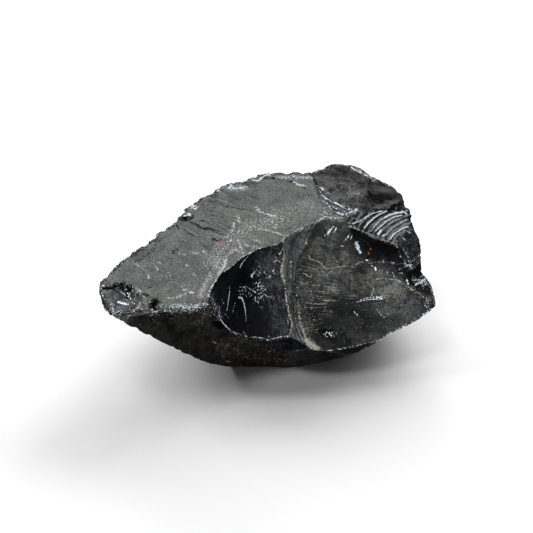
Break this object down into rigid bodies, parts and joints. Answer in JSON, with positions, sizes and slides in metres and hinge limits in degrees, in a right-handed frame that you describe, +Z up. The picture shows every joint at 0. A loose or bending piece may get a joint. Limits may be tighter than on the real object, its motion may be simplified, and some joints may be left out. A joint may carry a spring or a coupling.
{
  "type": "obsidian chunk",
  "caption": "Hand-sized broken block of black volcanic glass: one dull grey worn face, the rest glassy shell-shaped flake scars; rests on a flat facet.",
  "frame": {"origin": "on the ground plane, under the middle of the block's outline", "axes": "+X along the longest side, towards the crushed beak; +Y away from the side with the deep scoop; +Z up from the flat facet it rests on"},
  "size_m": [0.1146, 0.0844, 0.0391],
  "materials": {
    "obsidian_chunk": "glassy black scars with a matte grey worn top"
  },
  "bodies": {
    "root": {"obsidian_chunk": "obsidian_chunk"}
  },
  "joints": []
}
